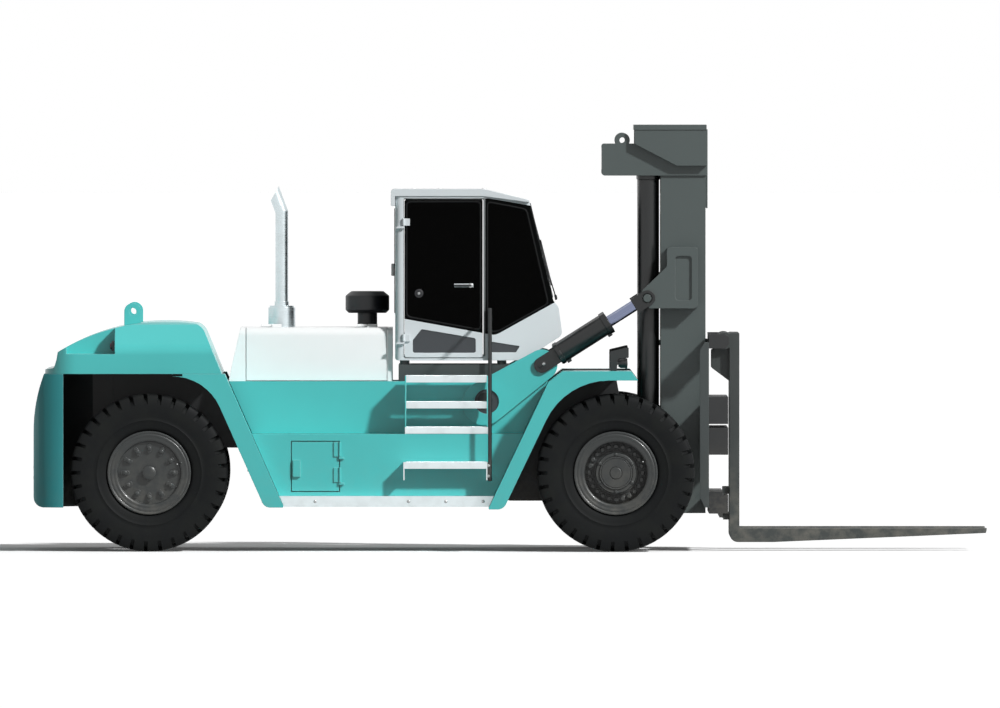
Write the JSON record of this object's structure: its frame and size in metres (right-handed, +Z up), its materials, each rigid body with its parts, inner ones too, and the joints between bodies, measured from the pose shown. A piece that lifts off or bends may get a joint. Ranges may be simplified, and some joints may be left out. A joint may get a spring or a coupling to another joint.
{
  "type": "heavy forklift truck",
  "caption": "Heavy counterbalanced forklift truck with twin drive wheels, steered rear wheels, hollow cab, engine hood, tilting two-stage mast and sliding forks.",
  "frame": {"origin": "middle of the bounding box's underside, on the floor, forks lowered", "axes": "+X forward towards the fork tips, +Y to the driver's left, +Z up"},
  "size_m": [9.2102, 3.3998, 4.1159],
  "materials": {
    "teal_paint": "gloss",
    "white_paint": "gloss",
    "cab_paint": "gloss",
    "frame_paint": "satin",
    "mast_paint": "satin",
    "fork_paint": "satin",
    "cylinder_paint": "satin",
    "rim_paint": "satin",
    "tyre_rubber": "matte",
    "rod_chrome": "polished",
    "step_aluminium": "satin",
    "stack_steel": "polished",
    "black_plastic": "matte",
    "engine_iron": "satin",
    "tinted_glass": "polished",
    "chain_steel": "oiled"
  },
  "bodies": {
    "chassis": {"chassis_frame": "frame_paint", "rear_frame": "frame_paint", "counterweight_block": "teal_paint", "counterweight_cap": "teal_paint", "radiator_grille": "frame_paint", "lifting_lugs": "teal_paint", "rear_fenders": "teal_paint", "front_fenders": "teal_paint", "side_boxes": "teal_paint", "side_panels": "teal_paint", "steps": "step_aluminium", "handrails": "frame_paint", "hood_spine": "white_paint", "engine_block": "engine_iron", "exhaust_stack": "stack_steel", "air_intake": "black_plastic", "cab_base": "frame_paint", "cab_shell": "cab_paint", "cab_glass": "tinted_glass", "cab_interior": "black_plastic", "tilt_arms": "teal_paint", "lamps": "black_plastic", "drive_axle": "frame_paint", "steer_axle": "frame_paint"},
    "cab_door_right": {"cab_door_right": "cab_paint", "cab_door_glass_right": "tinted_glass"},
    "cab_door_left": {"cab_door_left": "cab_paint", "cab_door_glass_left": "tinted_glass"},
    "service_door": {"service_door": "teal_paint"},
    "hood_lid_right": {"hood_lid_right": "white_paint"},
    "hood_lid_left": {"hood_lid_left": "white_paint"},
    "knuckle_right": {"knuckle_right": "frame_paint"},
    "knuckle_left": {"knuckle_left": "frame_paint"},
    "steer_wheel_right": {"steer_rim_right": "rim_paint", "steer_tyre_right": "tyre_rubber"},
    "steer_wheel_left": {"steer_rim_left": "rim_paint", "steer_tyre_left": "tyre_rubber"},
    "drive_wheels_right": {"drive_rims_right": "rim_paint", "drive_tyres_right": "tyre_rubber"},
    "drive_wheels_left": {"drive_rims_left": "rim_paint", "drive_tyres_left": "tyre_rubber"},
    "mast": {"outer_mast": "mast_paint", "mast_crossbars": "mast_paint", "lift_barrels": "cylinder_paint"},
    "inner_mast": {"inner_mast": "mast_paint", "inner_crossbars": "mast_paint", "mast_crosshead": "mast_paint", "chain_pulleys": "mast_paint", "lift_rods": "rod_chrome"},
    "carriage": {"carriage": "mast_paint", "carriage_beams": "mast_paint", "lift_chains": "chain_steel"},
    "fork_right": {"fork_right": "fork_paint"},
    "fork_left": {"fork_left": "fork_paint"},
    "tilt_barrel_right": {"tilt_barrel_right": "cylinder_paint"},
    "tilt_barrel_left": {"tilt_barrel_left": "cylinder_paint"},
    "tilt_rod_right": {"tilt_rod_right": "rod_chrome"},
    "tilt_rod_left": {"tilt_rod_left": "rod_chrome"}
  },
  "joints": [
    {"name": "drive_spin_right", "type": "hinge", "parent": "chassis", "child": "drive_wheels_right", "pos_m": [1.014, -1.485, 0.76], "axis": [0, 1, 0], "continuous": true},
    {"name": "steer_right", "type": "hinge", "parent": "chassis", "child": "knuckle_right", "pos_m": [-3.486, -1.055, 0.76], "axis": [0, 0, 1], "range_deg": [-60, 60]},
    {"name": "steer_spin_right", "type": "hinge", "parent": "knuckle_right", "child": "steer_wheel_right", "pos_m": [-3.486, -1.235, 0.76], "axis": [0, 1, 0], "continuous": true},
    {"name": "drive_spin_left", "type": "hinge", "parent": "chassis", "child": "drive_wheels_left", "pos_m": [1.014, 1.485, 0.76], "axis": [0, 1, 0], "continuous": true},
    {"name": "steer_left", "type": "hinge", "parent": "chassis", "child": "knuckle_left", "pos_m": [-3.486, 1.055, 0.76], "axis": [0, 0, 1], "range_deg": [-60, 60]},
    {"name": "steer_spin_left", "type": "hinge", "parent": "knuckle_left", "child": "steer_wheel_left", "pos_m": [-3.486, 1.235, 0.76], "axis": [0, 1, 0], "continuous": true},
    {"name": "mast_tilt", "type": "hinge", "parent": "chassis", "child": "mast", "pos_m": [1.314, 0, 0.64], "axis": [0, 1, 0], "range_deg": [-10, 5]},
    {"name": "mast_lift", "type": "slide", "parent": "mast", "child": "inner_mast", "axis": [0, 0, 1], "range_m": [0, 2]},
    {"name": "carriage_lift", "type": "slide", "parent": "inner_mast", "child": "carriage", "axis": [0, 0, 1], "range_m": [0, 2], "deforming": ["lift_chains"]},
    {"name": "fork_slide_right", "type": "slide", "parent": "carriage", "child": "fork_right", "axis": [0, -1, 0], "range_m": [-0.4, 0.36]},
    {"name": "tilt_cylinder_right", "type": "hinge", "parent": "chassis", "child": "tilt_barrel_right", "pos_m": [0.302, -0.86, 1.795], "axis": [0, 1, 0], "range_deg": [-9, 5]},
    {"name": "tilt_rod_right", "type": "slide", "parent": "tilt_barrel_right", "child": "tilt_rod_right", "axis": [0.8443, 0, 0.5358], "range_m": [-0.28, 0.14]},
    {"name": "cab_door_right", "type": "hinge", "parent": "chassis", "child": "cab_door_right", "pos_m": [-1.034, -0.756, 2.6], "axis": [0, 0, -1], "range_deg": [0, 90]},
    {"name": "hood_lid_right", "type": "hinge", "parent": "chassis", "child": "hood_lid_right", "pos_m": [-1.886, -0.383, 2.173], "axis": [-1, 0, 0], "range_deg": [0, 60]},
    {"name": "fork_slide_left", "type": "slide", "parent": "carriage", "child": "fork_left", "axis": [0, 1, 0], "range_m": [-0.4, 0.36]},
    {"name": "tilt_cylinder_left", "type": "hinge", "parent": "chassis", "child": "tilt_barrel_left", "pos_m": [0.302, 0.86, 1.795], "axis": [0, 1, 0], "range_deg": [-9, 5]},
    {"name": "tilt_rod_left", "type": "slide", "parent": "tilt_barrel_left", "child": "tilt_rod_left", "axis": [0.8443, 0, 0.5358], "range_m": [-0.28, 0.14]},
    {"name": "cab_door_left", "type": "hinge", "parent": "chassis", "child": "cab_door_left", "pos_m": [-1.034, 0.756, 2.6], "axis": [0, 0, 1], "range_deg": [0, 90]},
    {"name": "hood_lid_left", "type": "hinge", "parent": "chassis", "child": "hood_lid_left", "pos_m": [-1.886, 0.383, 2.173], "axis": [1, 0, 0], "range_deg": [0, 60]},
    {"name": "service_door", "type": "hinge", "parent": "chassis", "child": "service_door", "pos_m": [-1.647, -1.316, 0.82], "axis": [0, 0, 1], "range_deg": [0, 110]}
  ],
  "couplings": [
    {"joint": "steer_left", "follows": "steer_right", "ratio": 1},
    {"joint": "carriage_lift", "follows": "mast_lift", "ratio": 1},
    {"joint": "tilt_cylinder_right", "follows": "mast_tilt", "ratio": 0.85},
    {"joint": "tilt_rod_right", "follows": "mast_tilt", "m_per_rad": 1.524},
    {"joint": "tilt_cylinder_left", "follows": "mast_tilt", "ratio": 0.85},
    {"joint": "tilt_rod_left", "follows": "mast_tilt", "m_per_rad": 1.524}
  ]
}
